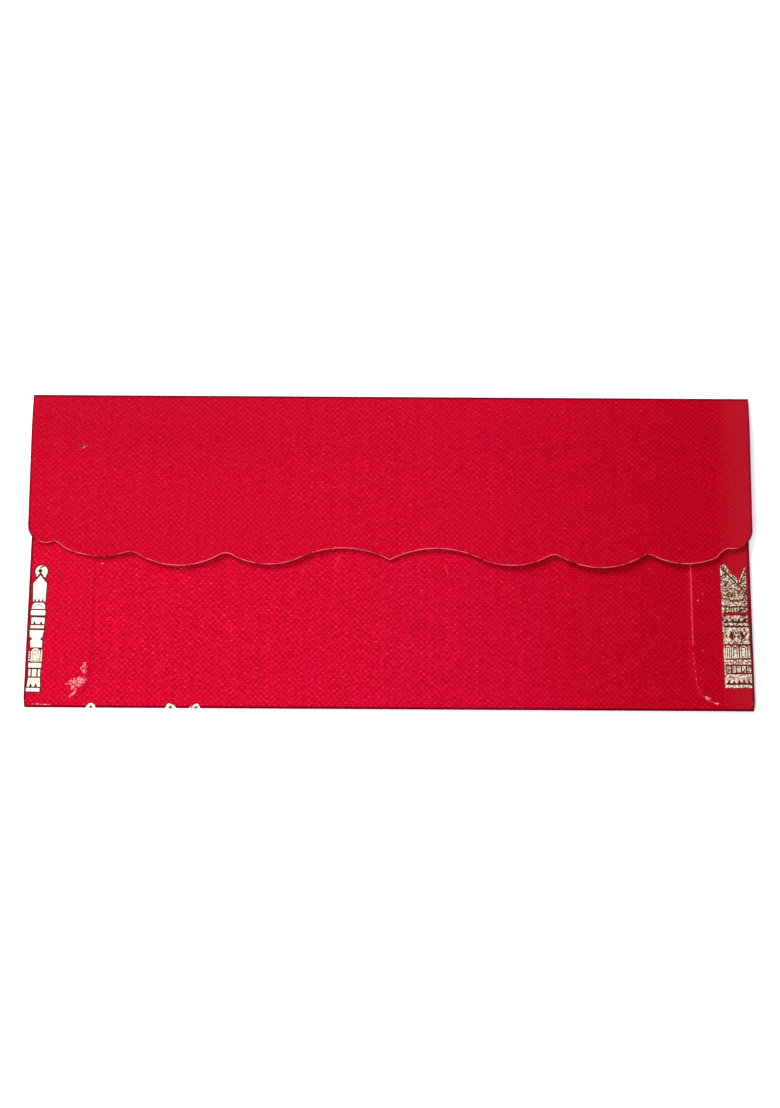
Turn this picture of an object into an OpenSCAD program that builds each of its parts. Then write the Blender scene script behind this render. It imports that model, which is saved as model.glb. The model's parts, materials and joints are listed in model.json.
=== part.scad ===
// Gift-money envelope of red embossed paper, closed and lying on its front with the flap side up.
// X runs along the long side, Y from the bottom fold to the crease of the flap, Z is the thickness.
// The paper is a red facing on a pale board, so every panel and fold is modelled as these two layers.
// Depths into the paper are always measured from its red face.

/* [Envelope] */
// Width between the two side folds
body_w = 184; // [165:1:220]
// Height from the bottom fold to the crease of the flap
body_h = 82; // [76:1:100]

/* [Paper] */
// Thickness of the red facing
facing_t = 0.08; // [0.06:0.01:0.12]
// Thickness of the pale board behind the facing
board_t = 0.24; // [0.18:0.01:0.36]
// Thickness of the gold foil, which is pressed flush into the facing
foil_t = 0.03; // [0.02:0.005:0.04]
// Room inside for the banknotes, between the front and the side flaps
pocket_t = 0.4; // [0.3:0.05:1.2]

/* [Closing flap] */
// Length of the flap from the crease to its lowest lobe
flap_drop = 45.7; // [40:0.1:52]
// How far the flap stands out past each side fold
flap_over = 1.3; // [0.4:0.1:2]
// Height of the scalloped border
scallop_h = 5.4; // [3:0.2:8]
// Extra height of the free edge, where the flap springs up a little
flap_lift = 0.7; // [0.3:0.1:1.6]
// Clear height between the flap and the top edge of the back panel
flap_clear = 0.3; // [0.2:0.05:0.6]
// Length over which the flap rises from its crease
crest_run = 11; // [8:0.5:15]

/* [Crease] */
// Gap between the two inner faces of the sheet at the crease
crease_gap = 0.16; // [0.1:0.02:0.4]
// Clearance between the rolled crease and the cut end of the front
crease_clear = 0.05; // [0.04:0.01:0.15]

/* [Back panel] */
// Height of the back panel from the bottom fold to the mouth
back_h = 63; // [56:1:70]
// How far the back panel stays in from each side fold
back_inset = 0.35; // [0.2:0.05:0.8]
// Radius of the two corners at the mouth
mouth_r = 4; // [2:0.5:10]

/* [Side flaps] */
// Width of the left side flap
left_flap_w = 16.2; // [14:0.1:22]
// Width of the right side flap
right_flap_w = 15.3; // [14:0.1:22]
// Distance of the upper end below the crease
side_drop = 7.5; // [6.5:0.5:12]
// Slant of the upper end across the width of the flap
side_slant = 3.5; // [1:0.5:6]
// Distance of the foot above the bottom fold
side_foot = 1.9; // [1.6:0.1:4]
// Radius of the inner corner at the foot
foot_corner_r = 5.6; // [3:0.2:8]
// Radius of the inner corner at the upper end
head_corner_r = 3; // [1:0.5:6]
// Narrowing of the lower part of the flap
foot_taper = 0.6; // [0.2:0.1:1.5]
// Height above the foot where this narrowing begins
taper_h = 12.7; // [9:0.1:20]

/* [Glue seams] */
// Thickness of the dried glue
glue_t = 0.06; // [0.04:0.01:0.1]
// Width of a seam
glue_w = 8; // [5:0.5:9]
// Length of a seam
glue_l = 46; // [30:1:50]
// Distance of a seam from the inner edge of its side flap
glue_edge = 3; // [2:0.5:4]
// Distance of a seam's lower end above the foot of its side flap
glue_foot = 9; // [8:0.5:12]

/* [Foil ornament] */
// Height of the pillar and of the gateway
ornament_h = 32.7; // [28:0.1:34]
// Width of the pillar at the left
pillar_w = 3.6; // [2.8:0.1:4]
// Distance from the left side fold to the middle of the pillar's foot
pillar_edge = 2.5; // [2.3:0.1:4]
// Distance of the pillar's foot above the bottom fold
pillar_foot = 3.9; // [3:0.1:7]
// Lean of the pillar, in degrees
pillar_tilt = 1; // [0:0.1:1.5]
// Width of the gateway at the right
gateway_w = 7; // [6:0.1:8]
// Distance from the gateway to the right side fold
gateway_edge = 0.5; // [0.4:0.1:1.5]
// Distance of the gateway's foot above the bottom fold
gateway_foot = 5.9; // [5:0.1:8]
// Lean of the gateway, in degrees
gateway_tilt = 0.5; // [0:0.1:1]
// Width of the bare lines between the bands of foil
foil_line = 0.3; // [0.2:0.02:0.4]
// Height of the frieze on the front
frieze_h = 8; // [6:0.5:12]
// Distance of the frieze above the bottom fold
frieze_foot = 3; // [2.8:0.2:6]
// Distance of the frieze from each side fold
frieze_side = 5; // [4:0.5:12]
// Width of one loop of foil that the bottom fold cuts
tip_w = 2.4; // [1.6:0.1:3]
// How far these loops reach onto the back panel
tip_rise = 0.6; // [0.4:0.1:1.5]

/* [Hidden] */
$fn = 48;

// Colours
red = "#C8102E";
pale = "#F3DEDA";
gold = "#CBA65A";
glue = "#E6DFC9";

// Heights of the stacked sheets above the table
paper_t = facing_t + board_t;
side_face_z = 2 * paper_t + pocket_t;
back_face_z = side_face_z + glue_t + paper_t;

// Folds, each rolled round from one sheet to the other
side_fold_r = side_face_z / 2;
bottom_fold_r = back_face_z / 2;
bead_r = paper_t + crease_gap / 2;

// Places of the fold lines
half_w = body_w / 2;
half_h = body_h / 2;
side_x = half_w - side_fold_r;
bottom_y = bottom_fold_r - half_h;
axis_y = half_h - bead_r;
front_end_y = axis_y - bead_r - crease_clear;

// Side flaps and back panel
foot_y = side_foot - half_h;
side_head_y = half_h - side_drop;
mouth_y = back_h - half_h;
back_half_w = half_w - back_inset;

// Rise of the closing flap, so that it clears the top edge of the back panel
flap_half_w = half_w + flap_over;
flap_reach = flap_drop - bead_r;
mouth_reach = axis_y - mouth_y;
mouth_turn = 90 * min(1, mouth_reach / crest_run);
flap_start_z = 2 * bead_r - paper_t;
mouth_lift = flap_lift * mouth_reach / flap_reach;
crest_h = (back_face_z + flap_clear - flap_start_z - mouth_lift) / sin(mouth_turn);
flap_top_z = 2 * bead_r + crest_h + flap_lift;
crest_steps = 10;

// The scalloped edge from the middle to the side: ends of the arcs, with a point on each arc between.
// Each pair is a share of the half width and a share of the border's height above the lowest lobe.
scallop_shares = [
    [0, 0.335],
    [0.123, 0.89],
    [0.2465, 0.417],
    [0.3375, 0.083],
    [0.432, 0.528],
    [0.449, 0.611],
    [0.466, 0.537],
    [0.579, 0],
    [0.689, 0.546],
    [0.7075, 0.657],
    [0.7255, 0.546],
    [0.82, 0.213],
    [0.894, 0.528],
    [0.9057, 0.759],
    [0.925, 0.972],
    [0.96, 1.037],
    [0.9796, 1.268],
    [0.9893, 1.52],
    [0.994, 1.8],
];
// Longest straight piece of the scalloped edge, and the fewest pieces that an arc has
edge_piece = 1.8;
fewest_steps = 4;
arc_steps = 12;

// Start and height of each band of the ornament, as shares of its height
base_shares = [0, 0.024];
teeth_shares = [0.037, 0.07];
squares_shares = [0.122, 0.05];
bar_shares = [0.187, 0.035];
arches_shares = [0.237, 0.1];
panel_shares = [0.347, 0.135];
thin_bar_shares = [0.495, 0.021];
small_teeth_shares = [0.528, 0.048];
cornice_shares = [0.598, 0.037];
crown_share = 0.647;
shaft_share = 0.715;
shoulder_share = 0.85;
valley_share = 0.84;
right_peak_share = 0.955;
left_peak_share = 0.985;
peak_place_share = 0.06;
valley_place_share = 0.55;
waist_share = 0.5;
tooth_share = 0.42;
tooth_gap_share = 0.45;

// Columns in the bands
pillar_columns = 3;
gateway_columns = 5;
gateway_arches = 3;
frieze_arches = 30;

// Bands of the frieze on the front
frieze_base_shares = [0, 0.12];
frieze_arches_shares = [0.2, 0.6];
frieze_top_shares = [0.88, 0.12];

// Places of the three loops of foil along the bottom fold, from the left side fold
tip_places = [17.1, 37, 43.4];

// Points of an arc from angle a0 to a1
function arc(centre, r, a0, a1) =
    [for (i = [0:arc_steps]) centre + r * [cos(a0 + (a1 - a0) * i / arc_steps), sin(a0 + (a1 - a0) * i / arc_steps)]];

// Middle of the circle through three points
function circle_middle(a, m, b) =
    let (
        d = 2 * (a.x * (m.y - b.y) + m.x * (b.y - a.y) + b.x * (a.y - m.y)),
        x = (a * a) * (m.y - b.y) + (m * m) * (b.y - a.y) + (b * b) * (a.y - m.y),
        y = (a * a) * (b.x - m.x) + (m * m) * (a.x - b.x) + (b * b) * (m.x - a.x)
    )
    [x / d, y / d];

// Points of the arc from a through m to b, without b; each arc here turns less than half a circle
function arc_through(a, m, b) =
    let (
        c = circle_middle(a, m, b),
        a0 = atan2(a.y - c.y, a.x - c.x),
        turn = atan2(b.y - c.y, b.x - c.x) - a0,
        sweep = turn > 180 ? turn - 360 : (turn < -180 ? turn + 360 : turn),
        r = norm(a - c),
        steps = max(fewest_steps, ceil(norm(b - a) / edge_piece))
    )
    [for (i = [0:steps - 1]) c + r * [cos(a0 + sweep * i / steps), sin(a0 + sweep * i / steps)]];

// A flat layer with its red face up at height face_z, between the depths lo and hi
module face_up(face_z, lo, hi) {
    translate([0, 0, face_z - hi])
        linear_extrude(hi - lo)
            children();
}

// A flat layer of the front panel, with its red face down on the table
module face_down(lo, hi) {
    translate([0, 0, lo])
        linear_extrude(hi - lo)
            children();
}

// Section of a fold with outer radius r, between the depths lo and hi, bulging toward +X
module fold_section(r, lo, hi) {
    difference() {
        circle(r - lo);
        circle(r - hi);
        translate([-2 * r, -r])
            square([2 * r, 2 * r]);
    }
}

// A side fold at the right, from the foot of its side flap to the upper end
module side_fold(lo, hi) {
    translate([side_x, side_head_y, side_fold_r])
        rotate([90, 0, 0])
            linear_extrude(side_head_y - foot_y)
                fold_section(side_fold_r, lo, hi);
}

module bottom_fold(lo, hi) {
    translate([-back_half_w, bottom_y, bottom_fold_r])
        rotate([90, 0, 90])
            linear_extrude(2 * back_half_w)
                mirror([1, 0])
                    fold_section(bottom_fold_r, lo, hi);
}

// Front panel: its sides are the fold lines, and beyond the ends of the folds it reaches the full width
module front_outline() {
    translate([-side_x, bottom_y])
        square([2 * side_x, front_end_y - bottom_y]);
    translate([-half_w, side_head_y])
        square([body_w, front_end_y - side_head_y]);
    translate([-half_w, bottom_y])
        square([body_w, foot_y - bottom_y]);
}

// Side flap at the right, w wide: slanted at its upper end, narrowed and rounded at its foot
module side_flap_outline(w) {
    inner_x = half_w - w;
    foot_x = inner_x + foot_taper;
    head_y = side_head_y - side_slant;
    foot_corner = [foot_x + foot_corner_r, foot_y + foot_corner_r];
    head_corner = [inner_x + head_corner_r, head_y - head_corner_r];
    polygon(concat(
        [[side_x, side_head_y], [side_x, foot_y]],
        arc(foot_corner, foot_corner_r, 270, 180),
        [[inner_x, foot_y + taper_h]],
        arc(head_corner, head_corner_r, 180, 90)
    ));
}

module back_outline() {
    translate([-back_half_w, bottom_y])
        square([2 * back_half_w, mouth_y - mouth_r - bottom_y]);
    translate([mouth_r - back_half_w, bottom_y])
        square([2 * (back_half_w - mouth_r), mouth_y - bottom_y]);
    for (side = [-1, 1])
        translate([side * (back_half_w - mouth_r), mouth_y - mouth_r])
            circle(mouth_r);
}

// Seam of glue at the right, under the back panel
module glue_outline(w) {
    x = half_w - w + glue_edge;
    y = foot_y + glue_foot;
    end_r = glue_w / 2;
    translate([x, y + end_r])
        square([glue_w, glue_l - glue_w]);
    for (end_y = [y + end_r, y + glue_l - end_r])
        translate([x + end_r, end_y])
            circle(end_r);
}

// Right half of the scalloped edge, from the middle to the side
function scallop_point(i) =
    [scallop_shares[i].x * flap_half_w, half_h - flap_drop + scallop_shares[i].y * scallop_h];
function scallop_half() =
    [for (i = [0:2:len(scallop_shares) - 3])
        each arc_through(scallop_point(i), scallop_point(i + 1), scallop_point(i + 2))];

module flap_outline() {
    half = concat(scallop_half(), [scallop_point(len(scallop_shares) - 1), [flap_half_w, axis_y]]);
    last = len(half) - 1;
    polygon(concat(half, [for (i = [last:-1:1]) [-half[i].x, half[i].y]]));
}

// Section of the closing flap: height of its red face at the distance s from the crease, less a depth
function flap_z(s) = 2 * bead_r + crest_h * sin(90 * min(1, s / crest_run)) + flap_lift * s / flap_reach;
function flap_line(depth) =
    concat(
        [for (i = [0:crest_steps]) [-crest_run * i / crest_steps, flap_z(crest_run * i / crest_steps) - depth]],
        [[-flap_reach, flap_z(flap_reach) - depth]]
    );
function turned_round(points) = [for (i = [len(points) - 1:-1:0]) points[i]];

module flap_sheet(lo, hi) {
    difference() {
        intersection() {
            translate([-flap_half_w, axis_y, 0])
                rotate([90, 0, 90])
                    linear_extrude(2 * flap_half_w)
                        polygon(concat(flap_line(lo), turned_round(flap_line(hi))));
            linear_extrude(flap_top_z)
                flap_outline();
        }
        bead();
    }
}

// The rolled crease, as one full-round bead along the axis that the flap turns on
module bead() {
    translate([-flap_half_w, axis_y, bead_r])
        rotate([0, 90, 0])
            cylinder(h = 2 * flap_half_w, r = bead_r);
}

module crease_skin() {
    translate([-flap_half_w, axis_y, bead_r])
        rotate([90, 0, 90])
            linear_extrude(2 * flap_half_w)
                fold_section(bead_r, 0, facing_t);
}

// Bands of the ornament. Each is drawn from the left, w wide, between the shares of the height h.
module bar_band(shares, w, h) {
    translate([0, shares[0] * h])
        square([w, shares[1] * h]);
}

// A bar with a row of small bare teeth standing on its lower edge
module toothed_band(shares, w, h, columns) {
    pitch = w / columns;
    tooth_w = tooth_gap_share * pitch;
    band_h = shares[1] * h;
    teeth = [for (i = [0:columns - 1], p = [[-1, 0], [0, 1], [1, 0]])
        [(2 * i + 1) * pitch / 2 + p.x * tooth_w / 2, p.y * tooth_share * band_h]];
    translate([0, shares[0] * h])
        polygon(concat([[0, 0]], teeth, [[w, 0], [w, band_h], [0, band_h]]));
}

// A row of squares with bare lines between them
module square_band(shares, w, h, columns) {
    pitch = (w + foil_line) / columns;
    for (i = [0:columns - 1])
        translate([i * pitch, shares[0] * h])
            square([pitch - foil_line, shares[1] * h]);
}

// A row of round-headed doors with bare lines between them
module arch_band(shares, w, h, columns) {
    pitch = (w + foil_line) / columns;
    door_w = pitch - foil_line;
    straight_h = shares[1] * h - door_w / 2;
    for (i = [0:columns - 1])
        translate([i * pitch, shares[0] * h]) {
            square([door_w, straight_h]);
            translate([0, straight_h])
                intersection() {
                    square([door_w, door_w / 2]);
                    translate([door_w / 2, 0])
                        circle(door_w / 2);
                }
        }
}

// A panel that a notch at each side draws in to a waist
module waisted_panel(shares, w, h) {
    panel_h = shares[1] * h;
    draw_in = (1 - waist_share) * w / 2;
    notch_h = draw_in / 2;
    middle_h = panel_h / 2;
    translate([0, shares[0] * h])
        polygon([
            [0, 0],
            [w, 0],
            [w, middle_h - notch_h],
            [w - draw_in, middle_h],
            [w, middle_h + notch_h],
            [w, panel_h],
            [0, panel_h],
            [0, middle_h + notch_h],
            [draw_in, middle_h],
            [0, middle_h - notch_h],
        ]);
}

// A panel with a bare diamond round a smaller diamond of foil
module diamond_panel(shares, w, h) {
    panel_h = shares[1] * h;
    outer_r = min(w, panel_h) / 2 - foil_line;
    translate([0, shares[0] * h])
        difference() {
            square([w, panel_h]);
            translate([w / 2, panel_h / 2])
                difference() {
                    circle(outer_r, $fn = 4);
                    circle(outer_r / 2, $fn = 4);
                }
        }
}

module lower_bands(w, h, columns) {
    bar_band(base_shares, w, h);
    toothed_band(teeth_shares, w, h, columns);
    square_band(squares_shares, w, h, columns);
    bar_band(bar_shares, w, h);
    bar_band(thin_bar_shares, w, h);
    toothed_band(small_teeth_shares, w, h, columns);
    bar_band(cornice_shares, w, h);
}

// Shaft with a pointed head that stands in a bulb
module pillar_crown(w, h) {
    bulb_r = w / 2;
    bulb_y = h - bulb_r;
    shoulder_y = shoulder_share * h;
    cap_shares = [crown_share, shaft_share - crown_share - foil_line / h];
    toothed_band(cap_shares, w, h, 1);
    polygon([[0, shaft_share * h], [w, shaft_share * h], [w, shoulder_y], [bulb_r, bulb_y], [0, shoulder_y]]);
    translate([bulb_r, bulb_y])
        difference() {
            circle(bulb_r);
            polygon([[0, foil_line], [-w, shoulder_y - bulb_y], [w, shoulder_y - bulb_y]]);
        }
}

// Gable with two peaks and a valley, parted by a bare line that follows them
module gateway_crown(w, h) {
    foot = crown_share * h;
    peak_x = peak_place_share * w;
    valley_x = valley_place_share * w;
    line_drop = 3 * foil_line;
    roof = [[w, right_peak_share * h], [valley_x, valley_share * h], [peak_x, left_peak_share * h]];
    drop = [0, line_drop];
    line = [0, line_drop + foil_line];
    difference() {
        polygon(concat([[0, foot], [w, foot]], roof, [[0, left_peak_share * h - peak_x]]));
        polygon([roof[0] - drop, roof[1] - drop, roof[2] - drop, roof[2] - line, roof[1] - line, roof[0] - line]);
    }
}

module pillar_art() {
    translate([pillar_edge - half_w, pillar_foot - half_h])
        rotate(-pillar_tilt)
            translate([-pillar_w / 2, 0]) {
                lower_bands(pillar_w, ornament_h, pillar_columns);
                arch_band(arches_shares, pillar_w, ornament_h, 1);
                waisted_panel(panel_shares, pillar_w, ornament_h);
                pillar_crown(pillar_w, ornament_h);
            }
}

module gateway_art() {
    translate([half_w - gateway_edge, gateway_foot - half_h])
        rotate(gateway_tilt)
            translate([-gateway_w, 0]) {
                lower_bands(gateway_w, ornament_h, gateway_columns);
                arch_band(arches_shares, gateway_w, ornament_h, gateway_arches);
                diamond_panel(panel_shares, gateway_w, ornament_h);
                gateway_crown(gateway_w, ornament_h);
            }
}

// Loops of foil that reach over the bottom fold onto the back panel
module tips_art() {
    for (place = tip_places)
        translate([place - half_w, bottom_y + tip_rise - tip_w / 2]) {
            circle(tip_w / 2);
            translate([-tip_w / 2, -tip_w])
                square([tip_w, tip_w]);
        }
}

module frieze_art() {
    w = body_w - 2 * frieze_side;
    translate([-w / 2, frieze_foot - half_h]) {
        bar_band(frieze_base_shares, w, frieze_h);
        arch_band(frieze_arches_shares, w, frieze_h, frieze_arches);
        bar_band(frieze_top_shares, w, frieze_h);
    }
    for (place = tip_places)
        translate([place - half_w - tip_w / 2, bottom_y])
            square([tip_w, frieze_foot - half_h - bottom_y]);
}

module left_pillar_foil() {
    color(gold)
        face_up(back_face_z, 0, foil_t)
            intersection() {
                pillar_art();
                back_outline();
            }
}

module right_gateway_foil() {
    color(gold)
        face_up(back_face_z, 0, foil_t)
            intersection() {
                gateway_art();
                back_outline();
            }
}

module bottom_tips_foil() {
    color(gold)
        face_up(back_face_z, 0, foil_t)
            intersection() {
                tips_art();
                back_outline();
            }
}

module front_frieze_foil() {
    color(gold)
        face_down(0, foil_t)
            intersection() {
                frieze_art();
                front_outline();
            }
}

module front_facing() {
    color(red)
        difference() {
            face_down(0, facing_t)
                front_outline();
            front_frieze_foil();
        }
}

module front_board() {
    color(pale)
        face_down(facing_t, paper_t)
            front_outline();
}

module right_fold_facing() {
    color(red)
        side_fold(0, facing_t);
}

module right_fold_board() {
    color(pale)
        side_fold(facing_t, paper_t);
}

module left_fold_facing() {
    mirror([1, 0, 0])
        right_fold_facing();
}

module left_fold_board() {
    mirror([1, 0, 0])
        right_fold_board();
}

module right_side_flap_facing() {
    color(red)
        face_up(side_face_z, 0, facing_t)
            side_flap_outline(right_flap_w);
}

module right_side_flap_board() {
    color(pale)
        face_up(side_face_z, facing_t, paper_t)
            side_flap_outline(right_flap_w);
}

module left_side_flap_facing() {
    color(red)
        face_up(side_face_z, 0, facing_t)
            mirror([1, 0])
                side_flap_outline(left_flap_w);
}

module left_side_flap_board() {
    color(pale)
        face_up(side_face_z, facing_t, paper_t)
            mirror([1, 0])
                side_flap_outline(left_flap_w);
}

module bottom_fold_facing() {
    color(red)
        bottom_fold(0, facing_t);
}

module bottom_fold_board() {
    color(pale)
        bottom_fold(facing_t, paper_t);
}

module back_facing() {
    color(red)
        difference() {
            face_up(back_face_z, 0, facing_t)
                back_outline();
            left_pillar_foil();
            right_gateway_foil();
            bottom_tips_foil();
        }
}

module back_board() {
    color(pale)
        face_up(back_face_z, facing_t, paper_t)
            back_outline();
}

module right_glue_seam() {
    color(glue)
        translate([0, 0, side_face_z])
            linear_extrude(glue_t)
                glue_outline(right_flap_w);
}

module left_glue_seam() {
    color(glue)
        translate([0, 0, side_face_z])
            linear_extrude(glue_t)
                mirror([1, 0])
                    glue_outline(left_flap_w);
}

module closing_flap_facing() {
    color(red)
        flap_sheet(0, facing_t);
}

module closing_flap_board() {
    color(pale)
        flap_sheet(facing_t, paper_t);
}

module crease_facing() {
    color(red)
        crease_skin();
}

module crease_core() {
    color(pale)
        difference() {
            bead();
            crease_skin();
        }
}

front_facing();
front_board();
left_fold_facing();
left_fold_board();
right_fold_facing();
right_fold_board();
left_side_flap_facing();
left_side_flap_board();
right_side_flap_facing();
right_side_flap_board();
bottom_fold_facing();
bottom_fold_board();
back_facing();
back_board();
left_glue_seam();
right_glue_seam();
left_pillar_foil();
right_gateway_foil();
bottom_tips_foil();
front_frieze_foil();
closing_flap_facing();
closing_flap_board();
crease_facing();
crease_core();
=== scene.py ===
"""A gift-money envelope of red embossed paper with gold foil, closed and lying with its flap side up.

Every length here is in millimetres and every angle in degrees, but for the lamps, which are in metres.
Meshes become metres where they are made. X runs along the long side, Y from the bottom fold to the
crease, Z is the thickness. The envelope is one sheet of paper, so each panel is made in the flat,
as an outline with points inside it, and a place function then folds it into the object.
"""

import json
import math
import random
from functools import reduce

import bmesh
import bpy
import numpy as np
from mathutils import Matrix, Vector, noise
from mathutils.geometry import delaunay_2d_cdt


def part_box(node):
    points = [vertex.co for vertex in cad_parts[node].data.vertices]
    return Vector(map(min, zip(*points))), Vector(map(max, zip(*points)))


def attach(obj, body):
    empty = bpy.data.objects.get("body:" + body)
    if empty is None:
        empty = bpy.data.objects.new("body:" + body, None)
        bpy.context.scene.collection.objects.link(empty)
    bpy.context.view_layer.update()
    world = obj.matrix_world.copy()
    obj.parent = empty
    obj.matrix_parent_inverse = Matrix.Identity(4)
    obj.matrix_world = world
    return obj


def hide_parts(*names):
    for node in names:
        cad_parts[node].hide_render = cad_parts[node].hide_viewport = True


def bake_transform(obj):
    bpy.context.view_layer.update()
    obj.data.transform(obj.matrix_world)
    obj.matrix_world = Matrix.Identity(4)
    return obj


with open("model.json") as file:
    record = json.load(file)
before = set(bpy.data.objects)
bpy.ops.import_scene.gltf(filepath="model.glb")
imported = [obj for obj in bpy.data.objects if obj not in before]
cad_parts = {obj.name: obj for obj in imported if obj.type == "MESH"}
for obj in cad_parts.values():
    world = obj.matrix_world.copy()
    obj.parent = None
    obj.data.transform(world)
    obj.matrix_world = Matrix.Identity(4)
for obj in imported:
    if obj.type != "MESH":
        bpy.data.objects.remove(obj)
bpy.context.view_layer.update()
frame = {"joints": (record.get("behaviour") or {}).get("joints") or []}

METRE = 0.001


def low(node):
    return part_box(node)[0] / METRE


def high(node):
    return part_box(node)[1] / METRE


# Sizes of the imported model
HALF_W = high("front_facing").x
PAPER = high("front_board").z
BEAD_R = high("crease_core").z / 2
AXIS_Y = frame["joints"][0]["pos_m"][1] / METRE
BACK_HALF_W, MOUTH_Y, BACK_Z = high("back_facing")
BOTTOM_Y = low("back_facing").y
BOTTOM_R = BACK_Z / 2
SIDE_R = high("left_side_flap_facing").z / 2
SIDE_X = -low("left_side_flap_facing").x
SIDE_FOOT_Y = low("right_side_flap_facing").y
SIDE_HEAD_Y = high("right_side_flap_facing").y
LEFT_RIDGE_X = high("left_side_flap_facing").x
RIGHT_RIDGE_X = low("right_side_flap_facing").x
FLAP_HALF_W = high("crease_core").x
FLAP_FOOT_Y = low("closing_flap_facing").y
FLAP_TOP_Z = high("closing_flap_facing").z
SIDE_ARC = math.pi * SIDE_R
BOTTOM_ARC = math.pi * BOTTOM_R
BEAD_ARC = math.pi * BEAD_R

# Edges of the paper: longest side of an outline, how far the edge is rounded, how far inside it rings
# of points run, and the distances that stand for far from an edge and for on a line
OUTLINE_STEP = 1.2
EDGE_ROUND = 0.05
WEAR_RINGS = (0.14, 0.26, 0.42, 0.7)
FAR = 9.0
NEAR = 0.05

# Rows of points beside a ridge, their step along it, and how far other points stay away
RIDGE_ROWS = (-0.5, -0.24, -0.1, 0.0, 0.1, 0.24, 0.5, 0.85, 1.3)
RIDGE_STEP = 0.9
RIDGE_ROOM = 1.8

# The foil: size of its triangles, how far it goes into the paper, how far its layers stand proud, and
# the plates' margin
FOIL_STEP = 0.7
FOIL_SEAT = 0.03
# The dark plates under the foil stand for pressed paper and for painted shade along the foil's edges
PRESSED_AND_SHADE_LIFT = 0.014
PLATE_LAYER = 0.0015
FOIL_LIFT = 0.036
PRESSED_AND_SHADE_MARGIN = 0.32

# The ornaments' places and sizes. A tip has its place, its width, the offset of its peak and its bow.
LEFT_PILLAR_X = -89.5
PILLAR_FOOT_Y = -37.1
PILLAR_LEAN = 1.0
GATEWAY_W = 6.75
GATEWAY_RIGHT_X = 91.25
GATEWAY_FOOT_Y = -35.1
GATEWAY_LEAN = 0.5
TIPS = ((-74.9, 2.5, 0.2, 1.5), (-54.8, 2.8, -0.55, 1.0), (-48.8, 2.9, 0.7, 0.7))
TIP_RISE = 0.38
TIP_LEG = 2.29
TIP_SHOULDER = 1.15
FRIEZE_HALF_W = high("front_frieze_foil").x
FRIEZE_FOOT_Y = -38.0
FRIEZE_ARCHES = 30

# The camera, and the floor just under the paper
CAMERA_PLACE = (-0.26, -94.34, 429.7)
CAMERA_TURN = (12.265, -0.103, 0.329)
CAMERA_LENS = 55.72
FLOOR_Z = -0.06
FLOOR_HALF_W = 1400.0

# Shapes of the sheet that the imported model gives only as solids. A scallop share is a point of the
# flap's free edge: its part of the way from the middle to the side, and of the scallops' height.
FRONT_CORNER = 0.5
FLAP_LIFT = 0.7
CREST_RUN = 11.0
SCALLOP_H = 5.4
MOUTH_ROUND = 4.0
SIDE_SLANT = 3.5
FOOT_ROUND = 5.6
HEAD_ROUND = 3.0
FOOT_TAPER = 0.6
TAPER_H = 12.7
SCALLOP_SHARES = (
    (0, 0.335), (0.123, 0.89), (0.2465, 0.417),
    (0.3375, 0.083), (0.432, 0.528), (0.449, 0.611), (0.466, 0.537),
    (0.579, 0), (0.689, 0.546), (0.7075, 0.657), (0.7255, 0.546),
    (0.82, 0.213), (0.894, 0.528), (0.9057, 0.759), (0.925, 0.972),
    (0.96, 1.037), (0.9796, 1.268), (0.9893, 1.52), (0.994, 1.8),
)
LEFT_END_SHARES = (
    (0.7255, 0.62), (0.8064, 0.446), (0.8922, 0.839), (0.905, 1.028), (0.9216, 1.17),
    (0.9543, 1.093), (0.9765, 1.265), (0.9885, 1.52), (0.9945, 1.9),
)

# How the paper sags and waves
SINK = 0.2
SINK_RUN = 1.1
SINK_END = 4.0
SIDE_DROOP = 0.05
DROOP_RUN = 2.4
TIP_SAG = 0.42
TIP_SAG_RUN = 19.0
LEFT_SAG = 0.36
WAVE = 0.035
WAVE_LENGTH = 23.0
FLAP_WAVE = 0.06
FLAP_WAVE_LENGTH = 31.0


def smooth(x):
    """0 below 0, 1 above 1, and an even curve between."""
    x = min(1.0, max(0.0, x))
    return x * x * (3 - 2 * x)


def wave(x, y, length, seed):
    """An even field of gentle hills between about -1 and 1."""
    return noise.noise(Vector((x / length, y / length, seed)))


# Outlines


def arc(centre, radius, start, end, piece=0.6):
    """Points of an arc between two angles."""
    turn = math.radians(end - start)
    steps = max(4, math.ceil(abs(turn) * radius / piece))
    angles = [math.radians(start) + turn * i / steps for i in range(steps + 1)]
    return [(centre[0] + radius * math.cos(a), centre[1] + radius * math.sin(a)) for a in angles]


def circle_middle(a, m, b):
    """Middle of the circle through three points."""
    size = [p[0] ** 2 + p[1] ** 2 for p in (a, m, b)]
    d = 2 * (a[0] * (m[1] - b[1]) + m[0] * (b[1] - a[1]) + b[0] * (a[1] - m[1]))
    x = size[0] * (m[1] - b[1]) + size[1] * (b[1] - a[1]) + size[2] * (a[1] - m[1])
    y = size[0] * (b[0] - m[0]) + size[1] * (a[0] - b[0]) + size[2] * (m[0] - a[0])
    return x / d, y / d


def arc_through(a, m, b):
    """Points of the arc from a through m to b."""
    centre = circle_middle(a, m, b)
    start = math.degrees(math.atan2(a[1] - centre[1], a[0] - centre[0]))
    end = math.degrees(math.atan2(b[1] - centre[1], b[0] - centre[0]))
    turn = (end - start + 180) % 360 - 180
    return arc(centre, math.dist(a, centre), start, start + turn)


def spaced(points, piece):
    """The closed outline with no side longer than piece."""
    result = []
    for a, b in zip(points, points[1:] + points[:1]):
        steps = max(1, math.ceil(math.dist(a, b) / piece))
        result += [(a[0] + (b[0] - a[0]) * i / steps, a[1] + (b[1] - a[1]) * i / steps) for i in range(steps)]
    return result


def thinned(points):
    """The outline without points that repeat."""
    return [p for p, q in zip(points, points[1:] + points[:1]) if math.dist(p, q) > 0.01]


def evened(points):
    """The outline without points that repeat, and with no side longer than OUTLINE_STEP."""
    return thinned(spaced(thinned(points), OUTLINE_STEP))


def mirrored(points):
    return [(-x, y) for x, y in reversed(points)]


def block(x0, x1, y0, y1):
    return [(x0, y0), (x1, y0), (x1, y1), (x0, y1)]


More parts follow.
